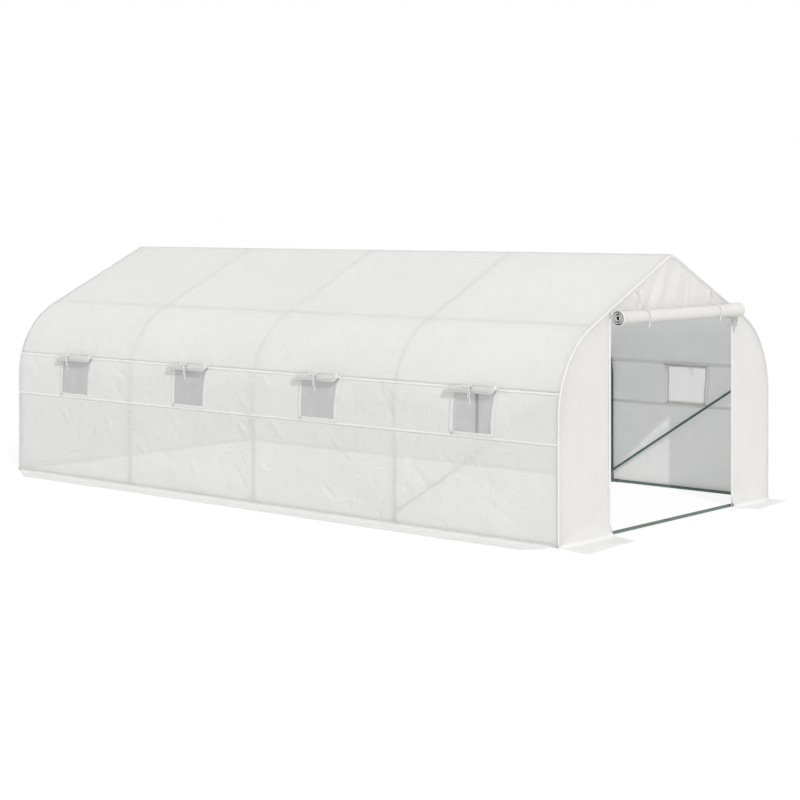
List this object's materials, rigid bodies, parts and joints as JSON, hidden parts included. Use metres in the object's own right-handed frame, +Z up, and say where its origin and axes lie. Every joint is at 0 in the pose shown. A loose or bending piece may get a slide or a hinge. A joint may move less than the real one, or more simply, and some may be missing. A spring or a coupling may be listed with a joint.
{
  "type": "polytunnel greenhouse",
  "caption": "Walk-in polytunnel with a pitched, round-shouldered white cover on a steel tube frame, a rolled-up door in one end and meshed windows along both sides.",
  "frame": {"origin": "on the ground, under the middle of the tunnel: the bottom centre of the whole object", "axes": "+Z up; +Y along the tunnel, from the door end to the closed end; +X to the right of someone who walks in at the door"},
  "size_m": [3.4, 6.48, 2.018],
  "materials": {
    "cover_sheet": "white woven polyethylene sheet with a fine reinforcing grid, slightly see-through, soft sheen",
    "white_tape": "white sewn webbing, piping and tie cord",
    "insect_mesh": "fine pale grey insect mesh",
    "frame_tube": "dark green powder-coated steel tube",
    "tube_fittings": "dark green powder-coated steel sockets"
  },
  "bodies": {
    "root": {"left_posts": "frame_tube", "right_posts": "frame_tube", "left_bends": "frame_tube", "right_bends": "frame_tube", "left_rafters": "frame_tube", "right_rafters": "frame_tube", "ridge_purlin": "frame_tube", "left_eave_purlin": "frame_tube", "right_eave_purlin": "frame_tube", "left_base_rail": "frame_tube", "right_base_rail": "frame_tube", "front_base_rail": "frame_tube", "back_base_rail": "frame_tube", "left_braces": "frame_tube", "right_braces": "frame_tube", "ridge_fittings": "tube_fittings", "left_eave_fittings": "tube_fittings", "right_eave_fittings": "tube_fittings", "left_foot_fittings": "tube_fittings", "right_foot_fittings": "tube_fittings", "roof_cover": "cover_sheet", "left_window_band": "cover_sheet", "right_window_band": "cover_sheet", "left_lower_wall": "cover_sheet", "right_lower_wall": "cover_sheet", "front_left_panel": "cover_sheet", "front_right_panel": "cover_sheet", "front_gable": "cover_sheet", "back_panel": "cover_sheet", "left_ground_flap": "cover_sheet", "right_ground_flap": "cover_sheet", "front_left_ground_flap": "cover_sheet", "front_right_ground_flap": "cover_sheet", "back_ground_flap": "cover_sheet", "left_window_meshes": "insect_mesh", "right_window_meshes": "insect_mesh", "left_window_rolls": "cover_sheet", "right_window_rolls": "cover_sheet", "left_window_ties": "white_tape", "right_window_ties": "white_tape", "door_roll": "cover_sheet", "door_ties": "white_tape", "front_piping": "white_tape", "back_piping": "white_tape"}
  },
  "joints": []
}
